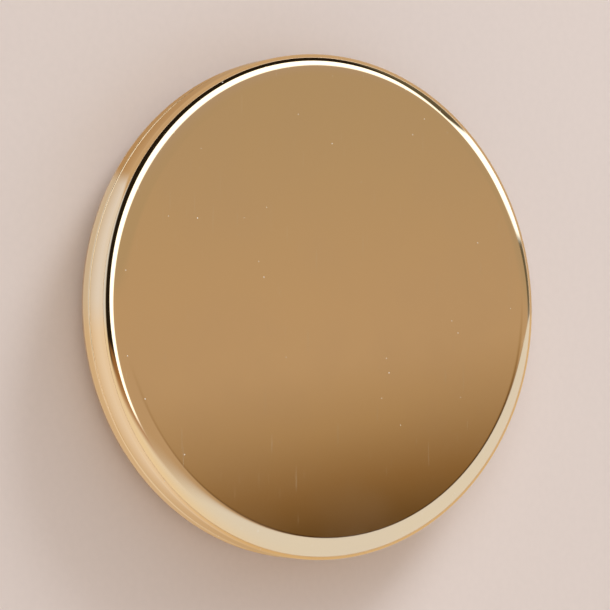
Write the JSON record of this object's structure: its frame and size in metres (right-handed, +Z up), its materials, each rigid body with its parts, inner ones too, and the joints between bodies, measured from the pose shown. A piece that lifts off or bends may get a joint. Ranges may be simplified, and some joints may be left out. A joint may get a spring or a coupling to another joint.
{
  "type": "powder compact",
  "caption": "Slim round hinged powder compact in polished gold, with a mirror in the lid, and a pressed powder pan, clear film and velour puff in the base.",
  "frame": {"origin": "centre of the flat underside, on the surface that the closed compact lies on", "axes": "+Z up out of the lid; +Y towards the hinge; -Y towards the side that opens"},
  "size_m": [0.075, 0.0757, 0.0112],
  "materials": {
    "polished_gold": "mirror polished, gold plated, with very fine scratches",
    "satin_gold_plastic": "gold metallised, satin",
    "steel": "bright steel",
    "tinplate": "drawn tinplate, satin",
    "mirror_glass": "silvered glass with a bevelled edge",
    "foam_tape": "white foam tape",
    "magnetic_rubber": "matte black magnetic rubber",
    "silicone": "translucent silicone",
    "pressed_powder": "matte pressed powder with an embossed pattern",
    "clear_film": "clear plastic film",
    "puff_velour": "short soft velour pile",
    "ribbon_satin": "satin weave ribbon"
  },
  "bodies": {
    "base": {"base_shell": "polished_gold", "tray_tape": "foam_tape", "base_tray": "satin_gold_plastic", "base_hinge_leaf": "polished_gold", "base_leaf_screw_left": "steel", "base_leaf_screw_right": "steel", "hinge_pin": "steel", "catch_spring": "steel", "catch_spring_screw": "steel", "lid_bumper_left": "silicone", "lid_bumper_right": "silicone", "magnet_sheet": "magnetic_rubber", "powder_pan": "tinplate", "pressed_powder": "pressed_powder", "divider_film": "clear_film", "puff": "puff_velour", "puff_ribbon": "ribbon_satin"},
    "lid": {"lid_shell": "polished_gold", "lid_liner": "satin_gold_plastic", "lid_hinge_leaf": "polished_gold", "lid_leaf_screw_left": "steel", "lid_leaf_screw_right": "steel", "catch_hook": "polished_gold", "hook_screw_left": "steel", "hook_screw_right": "steel", "mirror": "mirror_glass", "mirror_tape": "foam_tape"}
  },
  "joints": [
    {"name": "lid_hinge", "type": "hinge", "parent": "base", "child": "lid", "pos_m": [0, 0.0369, 0.0059], "axis": [-1, 0, 0], "range_deg": [0, 130], "deforming": ["catch_spring"]}
  ]
}
